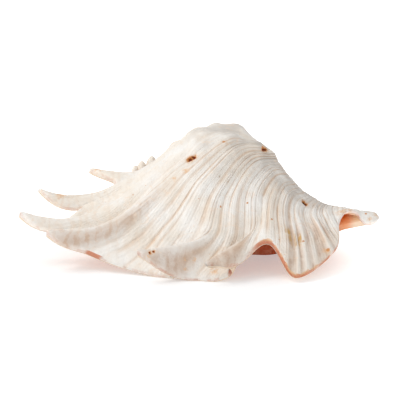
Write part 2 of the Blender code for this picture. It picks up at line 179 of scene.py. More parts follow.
def through(points, knots, at):
    """Cubic curve through the points at their knots: on each stretch, the two ends and their slopes are
    blended with the four cubic weights, and each slope is the mean of the rises on both sides."""
    points = np.asarray(points, float)
    knots = np.asarray(knots, float)
    flat = (-1,) + (1,) * (points.ndim - 1)
    width = np.diff(knots)
    rise = np.diff(points, axis=0) / width.reshape(flat)
    left, right = width[:-1].reshape(flat), width[1:].reshape(flat)
    slope = np.empty_like(points)
    slope[1:-1] = (rise[:-1] * right + rise[1:] * left) / (left + right)
    slope[0] = 1.5 * rise[0] - 0.5 * slope[1]
    slope[-1] = 1.5 * rise[-1] - 0.5 * slope[-2]
    i = np.clip(np.searchsorted(knots, at, side="right") - 1, 0, len(width) - 1)
    s = ((at - knots[i]) / width[i]).reshape(flat)
    w = width[i].reshape(flat)
    return ((2 * s**3 - 3 * s**2 + 1) * points[i] + (s**3 - 2 * s**2 + s) * w * slope[i]
            + (3 * s**2 - 2 * s**3) * points[i + 1] + (s**3 - s**2) * w * slope[i + 1])


def smooth(t):
    """Three t squared less two t cubed: rises from 0 to 1 with flat ends."""
    t = np.clip(t, 0.0, 1.0)
    return t * t * (3.0 - 2.0 * t)


def guide_points():
    """The rows of guide points.  Low back and high back are weighted means of their neighbours."""
    top, back, belly = (np.array(row, float) for row in (TOP, BACK, BELLY))
    low_back = back * (0.45, 0.72, 0.22) + belly * (0.55, 0.28, 0.78)
    high_back = back * (0.45, 0.66, 0.24) + top * (0.55, 0.34, 0.76)
    return np.array([INNER_LIP, belly, low_back, back, high_back, top, HIGH, MID, LOW, LIP], float)


def plain_sheet(u, v):
    """The sheet without fingers: each row of guide points is made a curve in u, and the curves' points
    at one u are made a curve in v."""
    guides = guide_points()
    lines = through(np.swapaxes(guides, 0, 1), np.arange(PLACES), u)
    return np.swapaxes(through(np.swapaxes(lines, 0, 1), GUIDE_ROWS, v), 0, 1)


def length_along(points):
    """Distance from the first point of a line to each of its points."""
    steps = np.linalg.norm(np.diff(points, axis=0), axis=1)
    return np.concatenate([[0.0], np.cumsum(steps)])


DENSE = np.linspace(0, PLACES - 1, 1401)
LIP_LINE = plain_sheet(DENSE, np.array([1.0]))[:, 0]
LIP_LENGTH = length_along(LIP_LINE)
CORD_LENGTH = length_along(plain_sheet(DENSE, np.array([CORD_ROW]))[:, 0])


def finger_pull(u, v):
    """Pull of each finger: its tip less its root, times a bell in the distance along the lip, times a
    power of the way down the wing, with a sag half way, for each side its own, so that the finger curves
    up like a horn.  The ridge is a wider bell that grows from the shoulder."""
    here = np.interp(u, DENSE, LIP_LENGTH)[:, None]
    down = np.clip((v - SHOULDER) / (1 - SHOULDER), 0, 1)[None, :]
    move = np.zeros((len(u), len(v), 3))
    ridge = np.zeros((len(u), len(v)))
    for place, tip, spire_side, canal_side, start, height, sag in FINGERS:
        middle = np.interp(place, DENSE, LIP_LENGTH)
        root = np.array([np.interp(place, DENSE, LIP_LINE[:, k]) for k in range(3)])
        grow = np.clip((down - start) / (1 - start), 0, 1)
        spire_width = spire_side[1] + (spire_side[0] - spire_side[1]) * grow
        canal_width = canal_side[1] + (canal_side[0] - canal_side[1]) * grow
        width = np.where(here < middle, spire_width, canal_width)
        pull = np.exp(-np.abs((here - middle) / width) ** 1.6) * grow ** 1.8
        move += pull[..., None] * (np.array(tip, float) - root)
        side = smooth(0.5 + 0.5 * (here - middle) / width)
        move[..., 2] -= (sag[0] + (sag[1] - sag[0]) * side) * 4 * pull * (1 - pull)
        broad = 1 / (1 + ((here - middle) / (1.25 * width)) ** 2) ** 1.5
        ridge += height * broad * smooth((down - start + 0.08) / 0.4) * (1 - 0.45 * grow)
    return move, ridge


def flank_shade_shares(u, v):
    """Share of painted shade, with some tan stain, on the concave flank beside each front finger: a bell in
    the distance along the lip, centred 0.42 of the finger's half width past it on its canal side, times
    the way down the wing.  It is strongest beside the last finger."""
    here = np.interp(u, DENSE, LIP_LENGTH)[:, None]
    down = np.clip((v - SHOULDER) / (1 - SHOULDER), 0, 1)[None, :]
    total = np.zeros((len(u), len(v)))
    for place, _, _, canal_side, start, _, _ in FINGERS[3:]:
        half = 0.42 * canal_side[1]
        past = here - np.interp(place, DENSE, LIP_LENGTH) - half
        depth = 1.3 if place == FINGERS[-1][0] else 1.0
        total += depth * np.exp(-(past / half) ** 2) * smooth((down - start) / 0.3)
    return np.clip(total, 0, 1)


def middle_sheet(u, v):
    """The sheet plus the pull of the fingers, with no thickness."""
    move, _ = finger_pull(u, v)
    return plain_sheet(u, v) + move


def outward(u, v):
    """Unit vectors out of the shell: the cross product of two wide differences, averaged between the
    sheet with and without its fingers."""
    before, after = np.clip(u - NORMAL_STEP[0], 0, PLACES - 1), np.clip(u + NORMAL_STEP[0], 0, PLACES - 1)
    lower, upper = np.clip(v - NORMAL_STEP[1], 0, 1), np.clip(v + NORMAL_STEP[1], 0, 1)
    normal = 0
    for shape, share in ((plain_sheet, 1 - FINGER_NORMAL), (middle_sheet, FINGER_NORMAL)):
        along = shape(after, v) - shape(before, v)
        across = shape(u, upper) - shape(u, lower)
        turn = np.cross(across, along)
        normal = normal + share * turn / np.maximum(np.linalg.norm(turn, axis=2, keepdims=True), 1e-9)
    return normal / np.linalg.norm(normal, axis=2, keepdims=True)


def ripple(points, size, seed):
    """Smooth unevenness between -1 and 1: the mean of seven sine waves in fixed random directions, each
    about as long as size, bent by one another."""
    rng = np.random.default_rng(seed)
    total = np.zeros(points.shape[:-1])
    bend = np.zeros(points.shape[:-1])
    for _ in range(7):
        way = rng.normal(size=3)
        way = way / np.linalg.norm(way) * TURN / (size * rng.uniform(0.7, 1.5))
        wave = np.sin(points @ way + rng.uniform(0, 6.3) + 0.9 * bend)
        bend = wave
        total = total + wave
    return total / 4.0


def cord_count(u, run, sizes):
    """Number of spiral cords up to each point: the distance along the shell over the cord spacing, bent
    by slow waves along it and down the wing."""
    along = np.interp(u, DENSE, CORD_LENGTH)[:, None]
    along = along + 0.7 * np.sin(run / 21 + along / 30) + 0.35 * np.sin(run / 8.3 + along / 11)
    count = along / sizes.cord_spacing
    return count + 0.17 * np.sin(along * 0.31) + 0.10 * np.sin(along * 0.73 + 1.7)


def lobe_ribs(u, v, run, sizes):
    """Ribs of the lobe: a cosine of the cord count, and the share of them at each point, which rises
    towards the lobe and towards its edge."""
    ribs = np.cos(TURN * cord_count(u, run, sizes) * sizes.cord_spacing / LOBE_SPACING + 0.8)
    lobe = smooth((u - 8.3) / 0.5) * (1 - smooth((u - 9.9) / 0.5))
    return ribs, lobe[:, None] * smooth((v - 0.70) / 0.15)[None, :]


def cord_grooves(u, v, run, sheet, sizes):
    """Depth of the grooves between the spiral cords, 0 to 1: a narrow bell at each whole number of a
    count that grows with the distance along the shell, bent by slow waves; every groove has its own
    depth, and a fainter one runs between each two."""
    count = cord_count(u, run, sizes)
    depths = np.random.default_rng(4).uniform(0.35, 1.0, 400)
    which = np.round(count)
    main = np.exp(-((count - which) / MAIN_GROOVE) ** 2) * depths[which.astype(int) % 400]
    half = count + 0.5
    between = np.round(half)
    minor = np.exp(-((half - between) / MINOR_GROOVE) ** 2) * depths[(between.astype(int) + 7) % 400] ** 2
    patch = 0.72 + 0.28 * ripple(sheet, 22.0, 9)
    groove = np.clip(main + 0.35 * minor, 0, 1) * patch
    band = smooth((v - 0.12) / 0.12)[None, :] * (1 - 0.45 * smooth((v - 0.88) / 0.12))[None, :]
    fade = (0.08 + 0.92 * smooth((u - 3.0) / 1.8)) * (1 - 0.65 * smooth((u - 10.3) / 1.5))
    return groove * band * fade[:, None]


def both_sides(u, v, sizes):
    """Outer side and plain inner side.  The outer one is the sheet plus its outward vectors times the
    heights of ridges, knobs, ribs, lumps and cords, less the holes; the inner one is a wall's thickness
    below, and both round off to a thin edge at the lip."""
    sheet = plain_sheet(u, v)
    normal = outward(u, v)
    move, ridge = finger_pull(u, v)
    middle = sheet + move
    gaps = np.linalg.norm(np.diff(middle, axis=1), axis=2)
    run = np.concatenate([np.zeros((len(u), 1)), np.cumsum(gaps, axis=1)], axis=1)
    to_edge = run[:, -1:] - run
    wall = WALL + (LIP_WALL - WALL) * smooth((v - 0.5) / 0.4)[None, :]
    wall = wall + (END_WALL - wall) * smooth((u - 8.5) / 4.0)[:, None]
    rounding = np.sqrt(1 - (1 - np.clip(to_edge / EDGE_WIDTH, 0, 1)) ** 2)
    wall = EDGE + (wall - EDGE) * rounding
    above = smooth((v - 0.6) / 0.4)[None, :]

    height = np.zeros(ridge.shape)
    for place, row, rise, radius in KNOBS:
        spot = plain_sheet(np.array([place]), np.array([row]))[0, 0]
        height += rise * np.exp(-np.sum((sheet - spot) ** 2, axis=2) / radius ** 2)
    turn = TURN * np.interp(u, DENSE, CORD_LENGTH) / RIB_SPACING
    band = smooth((v - SHOULDER) / 0.2) * (1 - 0.5 * smooth((v - 0.85) / 0.15))
    fade = smooth((u - 2.2) / 1.2) * (1 - 0.6 * smooth((u - 10) / 2))
    height += sizes.rib_height * (np.cos(turn) * fade)[:, None] * band[None, :]
    ribs, share = lobe_ribs(u, v, run, sizes)
    height += sizes.lobe_height * ribs * share
    lumps = ripple(sheet, 26.0, 1) + 0.5 * ripple(sheet, 11.0, 2)
    height += sizes.lump_height * lumps * smooth((v - 0.16) / 0.1)
    groove = cord_grooves(u, v, run, sheet, sizes)
    height -= sizes.cord_depth * groove
    growth = 0.5 + 0.5 * np.sin(to_edge * 1.7 + 2.5 * ripple(sheet, 30.0, 3))
    height -= GROWTH_LINE * growth * smooth((v - 0.7) / 0.2)
    for place, row, radius in HOLES + PITS:
        spot = middle_sheet(np.array([place]), np.array([row]))[0, 0]
        away = np.linalg.norm(middle - spot, axis=2)
        height -= radius * HOLE_DEPTH * np.exp(-(away / radius) ** 4)
    outer = middle + normal * (ridge + height * rounding + wall * above)[..., None]
    inner = middle + normal * (0.5 * ridge - wall * (1 - above))[..., None]
    inner[..., 2] = np.maximum(inner[..., 2], 0.0)
    outer[..., 2] = np.maximum(outer[..., 2], 0.0)
    wing = np.broadcast_to(v[None, :] > 0.6, ridge.shape)
    outer[..., 2] = np.where(wing, np.maximum(outer[..., 2], inner[..., 2] + 0.9), outer[..., 2])
    return outer, inner, groove, to_edge, run


def inner_side(u, v, sizes):
    """Inner side: from the inner lip a bulging line climbs over the earlier whorls to the pocket, and
    from there the wall's underside runs out to the lip."""
    split = int(np.searchsorted(v, POCKET - 1e-9))
    _, under, _, to_edge, _ = both_sides(u, v[split:], sizes)
    start = plain_sheet(u, np.array([0.0]))[:, 0] + (0.0, 1.0, 3.2)
    end = under[:, 0]
    share = (v[:split] / POCKET)[None, :, None]
    span = np.linalg.norm(end - start, axis=1)[:, None, None]
    bulge = span * 0.24 * np.sin(np.pi * share ** 0.8)
    core = start[:, None] * (1 - share) + end[:, None] * share + bulge * np.array([0.0, -0.95, 0.1])
    return np.concatenate([core, under], axis=1), to_edge, split


def columns():
    """Places of the columns: equal steps of a mean of the lip's length, the shoulder's length, the
    middle row's length and the place itself, with a column on the axis of every finger."""
    v = np.array([SHOULDER, CORD_ROW, 1.0])
    move, _ = finger_pull(DENSE, v)
    sheet = plain_sheet(DENSE, v)
    edge = length_along(sheet[:, 2] + move[:, 2])
    crest = length_along(sheet[:, 0])
    middle = length_along(sheet[:, 1])
    spread = 0.45 * edge / edge[-1] + 0.15 * crest / crest[-1] + 0.35 * middle / middle[-1]
    spread = spread + 0.05 * DENSE / DENSE[-1]
    even = np.linspace(0, 1, INNER_COLUMNS)
    for finger in FINGERS:
        here = np.interp(finger[0], DENSE, spread)
        even[np.argmin(np.abs(even - here))] = here
    fine = np.sort(np.concatenate([even, (even[1:] + even[:-1]) / 2]))
    return np.interp(even, spread, DENSE), np.interp(fine, spread, DENSE)


def rows(count, first_share):
    """Rows from 0 to 1: a share of them up to the shoulder, the rest down the wing, closer near the lip."""
    first = int(count * first_share)
    a = np.linspace(0, POCKET, first, endpoint=False)
    t = np.linspace(0, 1, count - first)
    return np.concatenate([a, POCKET + (1 - POCKET) * (1 - (1 - t) ** 1.35)])


def zip_up(a, at_a, b, at_b):
    """Triangles between two lines of vertices of unlike number, each vertex at its share of the way: the
    steps of both lines are sorted by where they end, and each step makes one triangle."""
    order = np.argsort(np.concatenate([at_a[1:], at_b[1:]]), kind="stable")
    on_a = order < len(a) - 1
    i, j = np.cumsum(on_a), np.cumsum(~on_a)
    return np.stack([a[i - on_a], np.where(on_a, a[i], b[j]), b[j - ~on_a]], axis=1)


def shares(points):
    """Share of a line's length at each of its points."""
    length = length_along(points)
    return length / length[-1]


def spire_rings(loop):
    """Rings from the open end of the body to the apex: each is the loop about a centre that moves along
    the axis, shrunk, rounded towards a circle, and scaled by a wave of the number of turns so far, which
    steps it like whorls, and by bells around the shoulder of each step, which are its knobs."""
    centre = loop.mean(axis=0)
    axis = np.array(APEX) - centre
    reach = np.linalg.norm(axis)
    axis = axis / reach
    closed = np.vstack([loop, loop[:1]])
    at = np.linspace(0, 1, SPIRE_SIDES, endpoint=False)
    ring = np.stack([np.interp(at, shares(closed), closed[:, k]) for k in range(3)], axis=1)
    arm = ring - centre
    tilt = (arm @ axis)[:, None] * axis
    up = np.array([0.0, 0.0, 1.0]) - axis[2] * axis
    up = up / np.linalg.norm(up)
    side = np.cross(axis, up)
    angle = np.arctan2(arm @ side, arm @ up)
    spoke = arm - tilt
    mean = np.linalg.norm(spoke, axis=1).mean()
    circle = (np.cos(angle)[:, None] * up + np.sin(angle)[:, None] * side) * mean
    rings = []
    for step in range(1, SPIRE_STEPS + 1):
        h = (step / (SPIRE_STEPS + 0.6)) ** 0.9
        left = 1 - h
        turn = np.log(1 / left) / np.log(WHORL_GROWTH) - angle / TURN
        part = turn - np.floor(turn)
        ease = smooth(h / 0.15)
        scale = 1 + ease * STEP_HEIGHT * np.cos(TURN * (part - 0.35))
        knob = np.exp(-((part - 0.35) / 0.16) ** 2) * (0.5 + 0.5 * np.cos(angle * SPIRE_KNOBS))
        scale = scale + ease * SPIRE_KNOB * knob
        round_off = smooth(h / 0.5)
        shape = spoke * (1 - round_off) + circle * round_off
        leaning = tilt * (1 - smooth(h / 0.8))
        rings.append(centre + axis * reach * h + leaning + shape * (left * scale)[:, None])
    return np.array(rings)


def bead(centre, reach, first):
    """An ellipsoid for a knob, its vertices numbered from first: cosines and sines of the heights and of
    the turns times the three half lengths, closed by a fan at each pole."""
    tall = np.linspace(-np.pi / 2, np.pi / 2, BEAD_RINGS + 2)[1:-1]
    turn = np.linspace(0, TURN, BEAD_SIDES, endpoint=False)
    rings = np.stack([np.outer(np.cos(tall), np.cos(turn)), np.outer(np.cos(tall), np.sin(turn)),
                      np.outer(np.sin(tall), np.ones(BEAD_SIDES))], axis=2)
    points = np.concatenate([rings.reshape(-1, 3), [(0, 0, -1), (0, 0, 1)]])
    ids = first + np.arange(BEAD_RINGS * BEAD_SIDES).reshape(BEAD_RINGS, BEAD_SIDES)
    wrapped = np.concatenate([ids, ids[:, :1]], axis=1)
    low, high = wrapped[0], wrapped[-1]
    pole = np.full(BEAD_SIDES, first + ids.size)
    faces = np.concatenate([grid_faces(wrapped, False), np.stack([pole, low[1:], low[:-1]], axis=1),
                            np.stack([pole + 1, high[:-1], high[1:]], axis=1)])
    return points * reach + centre, faces


def round_end(points, u):
    """The end of the canal made blunt and round: past END_START each point moves towards the canal's axis
    by a share that follows a quarter circle: one less the root of one less the way squared."""
    way = np.clip((u - END_START) / (PLACES - 1 - END_START), 0, 1)[:, None, None]
    axis = np.array([0.0, END_AXIS[0], END_AXIS[1]])
    move = (axis - points) * (0.0, 1.0, 1.0)
    return points + END_DRAW * (1 - np.sqrt(1 - way ** 2)) * move


def grid_faces(ids, flip):
    """Two triangles for each cell of a grid of vertex numbers."""
    a, b, c, d = ids[:-1, :-1].ravel(), ids[:-1, 1:].ravel(), ids[1:, 1:].ravel(), ids[1:, :-1].ravel()
    faces = np.concatenate([np.stack([a, b, c], axis=1), np.stack([a, c, d], axis=1)])
    return faces[:, ::-1] if flip else faces


def shell_mesh(sizes):
    """Points, faces and surface values of the whole shell: both sides, their two long seams, the end of
    the canal, the margin of the wing and the spire."""
    inner_u, outer_u = columns()
    outer_v, inner_v = rows(OUTER_ROWS, 0.30), rows(INNER_ROWS, 0.36)
    outer, _, groove, outer_edge, run = both_sides(outer_u, outer_v, sizes)
    inner, inner_edge, split = inner_side(inner_u, inner_v, sizes)
    outer, inner = round_end(outer, outer_u), round_end(inner, inner_u)
    outer_id = np.arange(outer.shape[0] * outer.shape[1]).reshape(outer.shape[:2])
    inner_id = outer_id.size + np.arange(inner.shape[0] * inner.shape[1]).reshape(inner.shape[:2])
    faces = [grid_faces(outer_id, False), grid_faces(inner_id, True)]
    way_outer, way_inner = np.linspace(0, 1, len(outer_u)), np.linspace(0, 1, len(inner_u))
    faces.append(zip_up(outer_id[:, -1], way_outer, inner_id[:, -1], way_inner)[:, ::-1])
    faces.append(zip_up(outer_id[:, 0], way_outer, inner_id[:, 0], way_inner))
    faces.append(zip_up(outer_id[-1], outer_v, inner_id[-1], inner_v))
    turn_outer = int(np.argmin(np.abs(outer_v - SPIRE_MARGIN)))
    turn_inner = int(np.argmin(np.abs(inner_v - POCKET)))
    rows_outer = (outer_v[turn_outer:] - outer_v[turn_outer]) / (1 - outer_v[turn_outer])
    rows_inner = (inner_v[turn_inner:] - inner_v[turn_inner]) / (1 - inner_v[turn_inner])
    faces.append(zip_up(outer_id[0, turn_outer:], rows_outer, inner_id[0, turn_inner:], rows_inner)[:, ::-1])
    loop_id = np.concatenate([outer_id[0, :turn_outer + 1], inner_id[0, :turn_inner + 1][::-1]])
    loop = np.concatenate([outer[0, :turn_outer + 1], inner[0, :turn_inner + 1][::-1]])
    rings = spire_rings(loop)
    first = outer_id.size + inner_id.size
    ring_id = first + np.arange(rings.shape[0] * SPIRE_SIDES).reshape(rings.shape[:2])
    around = np.append(np.arange(SPIRE_SIDES) / SPIRE_SIDES, 1.0)
    closed = shares(np.vstack([loop, loop[:1]]))
    faces.append(zip_up(np.append(loop_id, loop_id[0]), closed,
                        np.append(ring_id[0], ring_id[0, 0]), around)[:, ::-1])
    wrapped = np.concatenate([ring_id, ring_id[:, :1]], axis=1)
    faces.append(grid_faces(wrapped, True))
    apex = first + ring_id.size
    last = wrapped[-1]
    faces.append(np.stack([last[:-1], np.full(SPIRE_SIDES, apex), last[1:]], axis=1))
    points = np.concatenate([outer.reshape(-1, 3), inner.reshape(-1, 3), rings.reshape(-1, 3), [APEX]])
    for centre, reach in WHORL_KNOBS:
        knob, knob_faces = bead(centre, reach, len(points))
        points = np.concatenate([points, knob])
        faces.append(knob_faces)

    # Painted shade: the share beside the finger ridges, and in the valleys between the lobe's ribs.
    ribs, share = lobe_ribs(outer_u, outer_v, run, sizes)
    shade_share = np.maximum(flank_shade_shares(outer_u, outer_v), share * (0.45 - 0.45 * ribs))
    # Values that the material reads, on the outer side, the inner side and the spire: glazed or not,
    # distance from the lip in mm, groove depth, count of cords, share of painted shade with some tan stain,
    # place and row.
    spire_count = len(points) - outer_id.size - inner_id.size
    nothing = np.zeros(inner_id.shape)
    glazed = (1 - smooth((outer_v - 0.10) / 0.08))[None, :] * np.ones((len(outer_u), 1))
    core_edge = np.full((len(inner_u), split), CORE_FROM_LIP)
    values = {
        "inside": (glazed, np.ones(inner_id.shape), 0.0),
        "from_lip": (outer_edge, np.concatenate([core_edge, inner_edge], axis=1), SPIRE_FROM_LIP),
        "groove": (groove, nothing, 0.0),
        "cords": (cord_count(outer_u, run, sizes), nothing, 0.0),
        "shade_share": (shade_share, nothing, 0.0),
        "place": (np.repeat(outer_u[:, None], len(outer_v), axis=1),
                  np.repeat(inner_u[:, None], len(inner_v), axis=1), 0.0),
        "row": (np.repeat(outer_v[None], len(outer_u), axis=0),
                np.repeat(inner_v[None], len(inner_u), axis=0), SPIRE_ROW),
    }
    values = {name: np.concatenate([np.ravel(a), np.ravel(b), np.full(spire_count, c)])
              for name, (a, b, c) in values.items()}
    return points, np.concatenate(faces), values


def shifted(points):
    """Points moved so that the middle of the solid's box is at the origin, and turned to metres."""
    return (np.asarray(points, float) + (CENTRE[0], CENTRE[1], 0.0)) * MM


# ---------------------------------------------------------------------------------------------------
# Materials.
# ---------------------------------------------------------------------------------------------------

def linear(code):
    """An sRGB hex colour as linear red, green, blue and alpha."""
    parts = [int(code[i:i + 2], 16) / 255 for i in (1, 3, 5)]
    return tuple(p / 12.92 if p <= 0.04045 else ((p + 0.055) / 1.055) ** 2.4 for p in parts) + (1.0,)


def add(tree, kind, settings=None, **links):
    """Adds a node, sets its own settings, and fills or links each named or numbered socket."""
    node = tree.nodes.new(kind)
    for name, value in (settings or {}).items():
        setattr(node, name, value)
    for name, value in links.items():
        key = int(name[1:]) if name[0] == "_" and name[1:].isdigit() else name.replace("_", " ")
        if isinstance(value, bpy.types.NodeSocket):
            tree.links.new(value, node.inputs[key])
        else:
            node.inputs[key].default_value = value
    return node


def shell_material(sizes, colours):
    """Worn aragonite shell: a chalky, matt outer layer of cream and white with tan stains that lie in
    the grooves, and a glazed orange inner layer.  To the eye the outside is soft and dry, and the
    inside shines like porcelain.  Each layer of colour is mixed over the ones before it by its share,
    which is a product of masks.  Some layers are painted shade, in whole or in part: on the finger
    flanks, between the lobe's ribs, over the upper back, and in the holes and pits."""
    material = bpy.data.materials.new("Worn aragonite shell")
    material.use_nodes = True
    tree = material.node_tree
    tree.nodes.clear()
    spot_in_space = add(tree, "ShaderNodeTexCoord").outputs["Object"]
    inside, lip, groove, count, shade_share, where, row, cord_mm = (
        add(tree, "ShaderNodeAttribute", {"attribute_name": name}).outputs["Fac"]
        for name in ("inside", "from_lip", "groove", "cords", "shade_share", "place", "row", "cord_mm"))
    uneven = {}
    for name, (size_mm, detail, rough, twist) in UNEVEN.items():
        uneven[name] = add(tree, "ShaderNodeTexNoise", Vector=spot_in_space, Scale=1.0 / (size_mm * MM),
                           Detail=detail, Roughness=rough, Distortion=twist).outputs["Fac"]

    def share(*masks, how="MULTIPLY"):
        """The masks multiplied, or taken together in another way.  A mask is a number, a socket, or a
        source with the two values between which it turns smoothly from 0 to 1, or from a third value to
        a fourth."""
        total = None
        for mask in masks:
            if isinstance(mask, tuple):
                source, low, high, start, end = mask if len(mask) == 5 else mask + (0.0, 1.0)
                mask = add(tree, "ShaderNodeMapRange", {"interpolation_type": "SMOOTHSTEP"}, Value=source,
                           From_Min=low, From_Max=high, To_Min=start, To_Max=end).outputs["Result"]
            if total is None:
                total = mask
            else:
                total = add(tree, "ShaderNodeMath", {"operation": how}, _0=total, _1=mask).outputs[0]
        return total

    def layered(colour, layers):
        """The colour under the layers, each mixed over what lies below it by its share."""
        for part, over in layers:
            colour = add(tree, "ShaderNodeMix", {"data_type": "RGBA"}, _0=part, _6=colour,
                         _7=linear(over)).outputs[2]
        return colour

    def marked(table, grow, softness, wobble_mm):
        """One where the surface is within a mark's radius: the largest of the falls from each mark."""
        shake = add(tree, "ShaderNodeTexNoise", Vector=spot_in_space, Scale=1.0 / (WOBBLE_SIZE * MM),
                    Detail=3.0).outputs["Color"]
        bent = add(tree, "ShaderNodeVectorMath", {"operation": "MULTIPLY_ADD"}, _0=shake,
                   _1=(wobble_mm * MM,) * 3, _2=spot_in_space).outputs[0]
        falls = []
        for place, along, radius in table:
            outer = both_sides(np.array([place]), np.array([along, 1.0]), sizes)[0]
            centre = tuple(c + wobble_mm * MM * 0.5 for c in shifted(outer[0, 0]))
            away = add(tree, "ShaderNodeVectorMath", {"operation": "DISTANCE"}, _0=bent, _1=centre)
            reach = radius * grow * MM
            falls.append(share((away.outputs["Value"], reach * (1 + softness), reach * (1 - softness))))
        return share(*falls, how="MAXIMUM")

    # Stain in the grooves, in patches that run along the cords, with a fine dark line at the bottom of
    # each groove and fainter ones between; every line has its own strength.
    along_cords = add(tree, "ShaderNodeCombineXYZ", X=share(count, 0.55), Y=share(row, 5.0)).outputs["Vector"]
    patch = add(tree, "ShaderNodeTexNoise", Vector=along_cords, Scale=1.0, Detail=4.0, Roughness=0.6)
    patch = share((patch.outputs["Fac"], 0.36, 0.62))
    strokes = []
    for shift, half_width, weakest, strongest in LINES:
        moved = share(count, shift, how="ADD")
        whole = add(tree, "ShaderNodeMath", {"operation": "ROUND"}, _0=moved).outputs[0]
        off = share(moved, whole, how="SUBTRACT")
        off = add(tree, "ShaderNodeMath", {"operation": "ABSOLUTE"}, _0=off).outputs[0]
        own = add(tree, "ShaderNodeTexWhiteNoise", {"noise_dimensions": "1D"}, W=whole).outputs["Value"]
        strokes.append(share((off, half_width, 0.35 * half_width), (own, 0.0, 1.0, weakest, strongest)))
    lines = share(share(*strokes, how="MAXIMUM"), (row, 0.14, 0.30), (row, 0.99, 0.90, 0.35, 1.0),
                  (where, 3.0, 5.0, 0.06, 1.0), (where, 11.6, 10.6, 0.1, 1.0),
                  (uneven["breaks"], 0.34, 0.56, 0.35, 1.0), (patch, 0.0, 1.0, 0.55, 1.0))

    # Bands across the fingers, bent by unevenness.
    sideways = add(tree, "ShaderNodeSeparateXYZ", Vector=spot_in_space).outputs["X"]
    phase = share(share(sideways, TURN / (BAND_SPACING * MM)), share(uneven["bend"], 22.0), how="ADD")
    wave = add(tree, "ShaderNodeMath", {"operation": "SINE"}, _0=phase).outputs[0]
    bands = share((wave, -0.2, 1.0))

    # Yellow-brown stains break into streaks along the cords.
    streak = add(tree, "ShaderNodeTexNoise", {"noise_dimensions": "1D"}, W=share(count, 1.9), Scale=1.0,
                 Detail=2.0).outputs["Fac"]
    pits, holes = marked(PITS, 1.0, 0.4, 1.0), marked(HOLES, 0.75, 0.3, 2.4)

    # Worn rim: the broken edge shows the orange layer, faint left of the front fingers and on the arch
    # of the canal, wide and uneven from the notch to the lobe, with one worn spot left of the fingers.
    rim = share((lip, 1.8, 0.4), (uneven["rim"], 0.42, 0.60), (where, 5.6, 7.2, 0.36, 1.0),
                share((where, 10.3, 9.9, 0.0, 0.9), (where, 12.0, 12.4, 0.1, 1.0), how="MAXIMUM"))
    ragged_lip = share(lip, share(uneven["wear"], 3.0), how="ADD")
    worn = share((where, 7.55, 7.8), (where, 9.7, 9.2, 0.25, 1.0), (ragged_lip, 3.5, 2.9),
                 (uneven["chips"], 0.26, 0.44, 0.45, 1.0))
    left_spot = share((where, 4.12, 4.2), (where, 4.46, 4.38), (lip, 2.6, 1.8))
    rim = share(rim, worn, left_spot, how="MAXIMUM")

    outside = layered(linear(colours.white), [
        # Chalk: white and cream patches, mottled.
        (share((uneven["chalk"], 0.40, 0.64)), colours.cream),
        (share((uneven["mottle"], 0.5, 0.75), 0.35), colours.cream),
        # Warmer cream over the fingers of the spire side, and over the upper back grey weathering that is
        # partly painted shade.
        (share((where, 4.6, 2.4), (uneven["warmth"], 0.36, 0.62), 0.6), colours.tan),
        (share((row, 0.72, 0.55), (where, 1.4, 3.8), (uneven["weathering_and_shade"], 0.34, 0.62), 0.88), colours.grey_and_shade),
        (share(groove, patch, 0.8), colours.stain),
        (share(lines, 0.55), colours.line),
        # Painted shade, with some tan stain, on the concave flanks beside the finger ridges and between the
        # ribs of the lobe.
        (share(shade_share, (uneven["shade_and_stain"], 0.30, 0.62, 0.55, 1.0), (bands, 0.0, 1.0, 0.72, 1.0), 0.9),
         colours.shade_and_stain),
        (share(bands, (where, 5.2, 3.6), (row, 0.70, 0.90), 0.14), colours.stain),
        # Peach bloom along the cords, and specks of rust colour under 1 mm.
        (share((uneven["bloom"], 0.56, 0.70), 0.42), colours.peach),
        (share((uneven["specks"], 0.735, 0.775), 0.7), colours.speck),
        (share(marked(STAINS, 1.0, 0.6, 5.0), (streak, 0.38, 0.54), (uneven["blotch"], 0.30, 0.50), 0.85),
         colours.yellow),
        (share(marked(PATCHES, 1.0, 0.7, 6.0), (uneven["patch"], 0.37, 0.56), 0.75), colours.peach_deep),
        (share(marked(SPECKS, 1.0, 0.4, 1.0), 0.9), colours.speck),
        # Bore holes: a peach stain, a rusty ring and a dark middle; the dark middle is the holes' red-brown
        # and painted shade of their depth, and the tan dot of each pit is painted shade.
        (share(marked(HOLES, 2.0, 0.5, 3.0), 0.55), colours.peach_deep),
        (marked(HOLES, 1.5, 0.3, 3.0), colours.speck),
        (share(pits, 0.6), colours.line),
        (holes, colours.hole),
        (share(rim, 0.85), colours.rim),
        # A pale line above the worn rim.
        (share((where, 7.6, 8.0), (where, 9.9, 9.3), (lip, 3.2, 2.2), (lip, 0.5, 1.0),
               (uneven["blotch"], 0.42, 0.56), 0.7), colours.peach_deep),
    ])
    # Inside: cream by the lip, orange further in, red-brown in the depth, cream again in the canal.
    glaze = layered(linear(colours.inner_pale), [
        (share((lip, 3.0, 26.0)), colours.inner),
        (share((row, 0.62, 0.36), (where, 11.4, 10.0)), colours.inner_deep),
        (share((uneven["glaze"], 0.4, 0.7), 0.3), colours.inner_pale),
        (share((where, 11.1, 12.2)), colours.inner_pale),
    ])
    colour = add(tree, "ShaderNodeMix", {"data_type": "RGBA"}, _0=share((inside, 0.35, 0.65)), _6=outside,
                 _7=glaze).outputs[2]

    # Relief too fine for the mesh: fine cords, grain and lumps of the chalk, less the holes and lines.
    fine_phase = share(cord_mm, TURN / FINE_CORD_SPACING)
    fine_cords = add(tree, "ShaderNodeMath", {"operation": "SINE"}, _0=fine_phase).outputs[0]
    relief = share(share(fine_cords, 0.07, (row, 0.14, 0.3)), share(uneven["grain"], 0.35),
                   share(uneven["lumps"], 0.9), how="ADD")
    relief = share(relief, share(holes, 1.4), share(lines, 0.4), how="SUBTRACT")
    bump = add(tree, "ShaderNodeBump", Strength=share((inside, 0.65, 0.35, 0.10, 1.0)),
               Distance=BUMP_HEIGHT * MM, Height=relief).outputs["Normal"]

